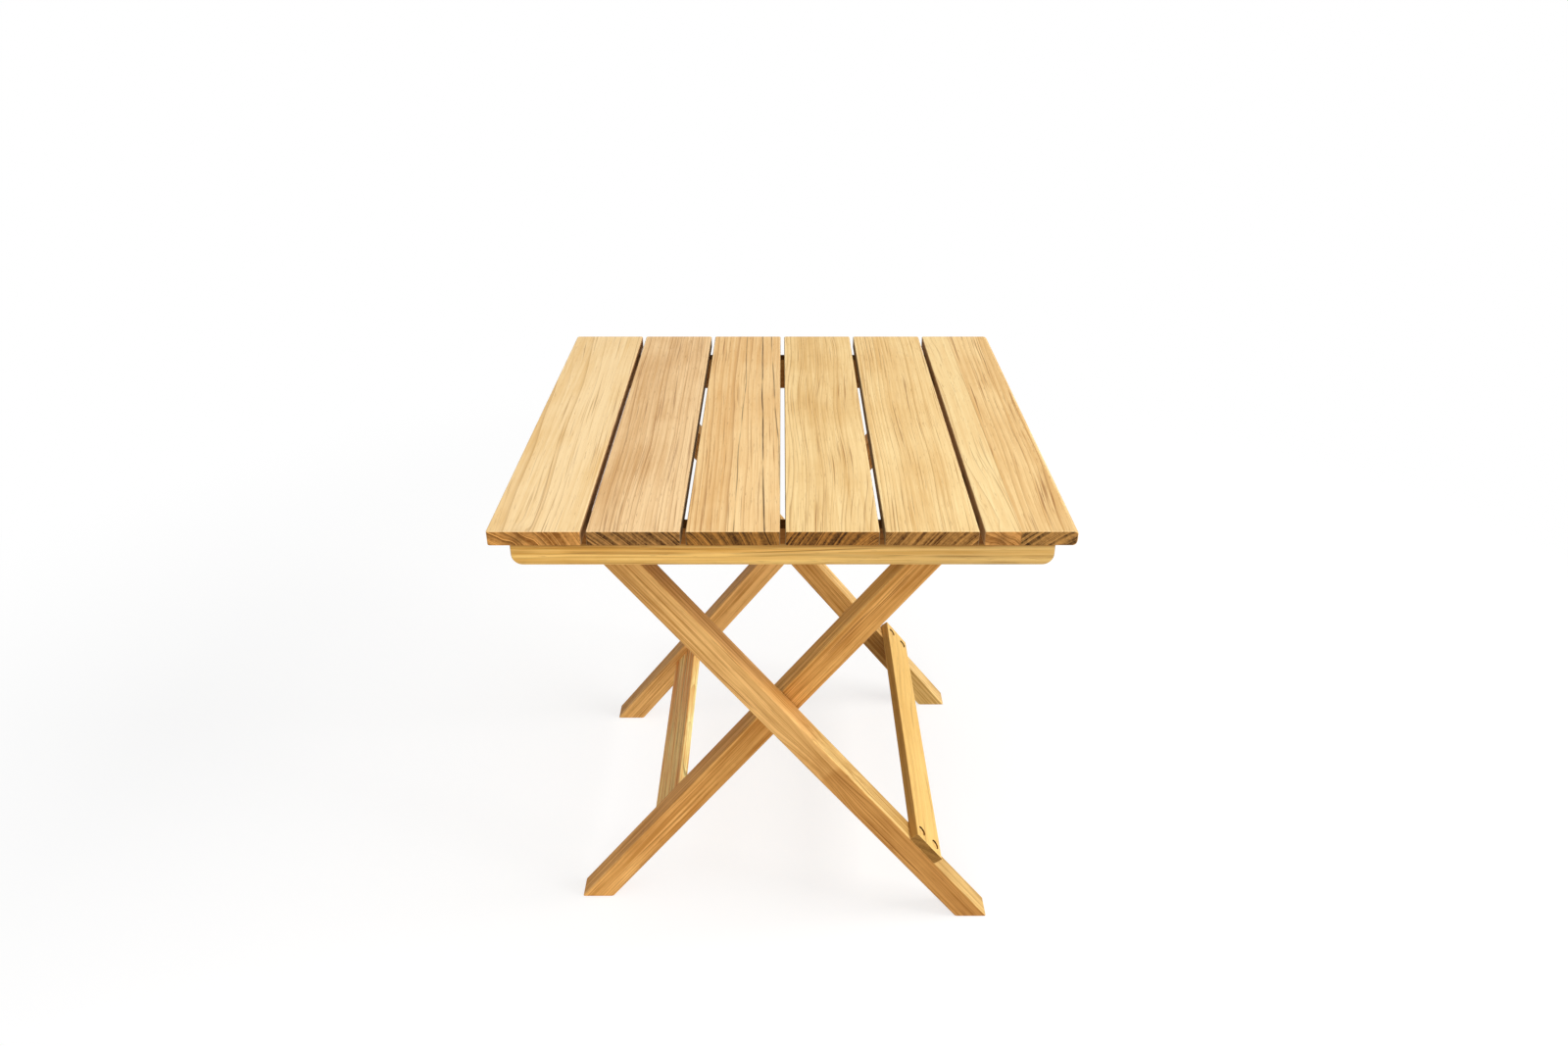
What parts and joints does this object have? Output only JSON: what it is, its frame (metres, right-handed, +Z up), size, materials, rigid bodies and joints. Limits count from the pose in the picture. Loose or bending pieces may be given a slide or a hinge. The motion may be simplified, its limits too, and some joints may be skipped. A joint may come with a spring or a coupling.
{
  "type": "folding garden table",
  "caption": "Low square garden table of golden hardwood: a slatted top on battens over crossed leg frames that fold flat.",
  "frame": {"origin": "on the floor, under the middle of the top", "axes": "+Z up, +X to the right seen from the front, from the hinged side of the top to its free side, +Y to the back along the slats"},
  "size_m": [0.5, 0.5, 0.5],
  "materials": {
    "slat_wood": "planed hardwood, oiled satin",
    "batten_wood": "planed hardwood, oiled satin",
    "leg_wood": "planed hardwood, oiled satin",
    "plug_wood": "turned hardwood, oiled satin",
    "steel": "stainless, bright",
    "brass": "plain brass"
  },
  "bodies": {
    "outer_frame": {"outer_leg_front": "leg_wood", "outer_leg_rear": "leg_wood", "outer_stretcher": "leg_wood", "stretcher_screws": "steel", "stretcher_plugs": "plug_wood", "pivot_pins": "steel", "pivot_washers": "brass"},
    "inner_frame": {"inner_leg_front": "leg_wood", "inner_leg_rear": "leg_wood", "inner_stretcher": "leg_wood", "stretcher_dowels": "plug_wood", "rest_rod": "plug_wood"},
    "tabletop": {"slat_1": "slat_wood", "slat_2": "slat_wood", "slat_3": "slat_wood", "slat_4": "slat_wood", "slat_5": "slat_wood", "slat_6": "slat_wood", "front_batten": "batten_wood", "rear_batten": "batten_wood", "slat_screws": "steel", "rod_rest_front": "batten_wood", "rod_rest_rear": "batten_wood", "rod_rest_screws": "steel", "hinge_pins": "steel", "hinge_washers": "brass"}
  },
  "joints": [
    {"name": "top_swing", "type": "hinge", "parent": "outer_frame", "child": "tabletop", "pos_m": [-0.168, 0, 0.46875], "axis": [0, -1, 0], "range_deg": [0, 127]},
    {"name": "leg_fold", "type": "hinge", "parent": "outer_frame", "child": "inner_frame", "pos_m": [0, 0, 0.25677], "axis": [0, -1, 0], "range_deg": [0, 76]}
  ],
  "couplings": [
    {"joint": "leg_fold", "follows": "top_swing", "ratio": 0.597}
  ]
}
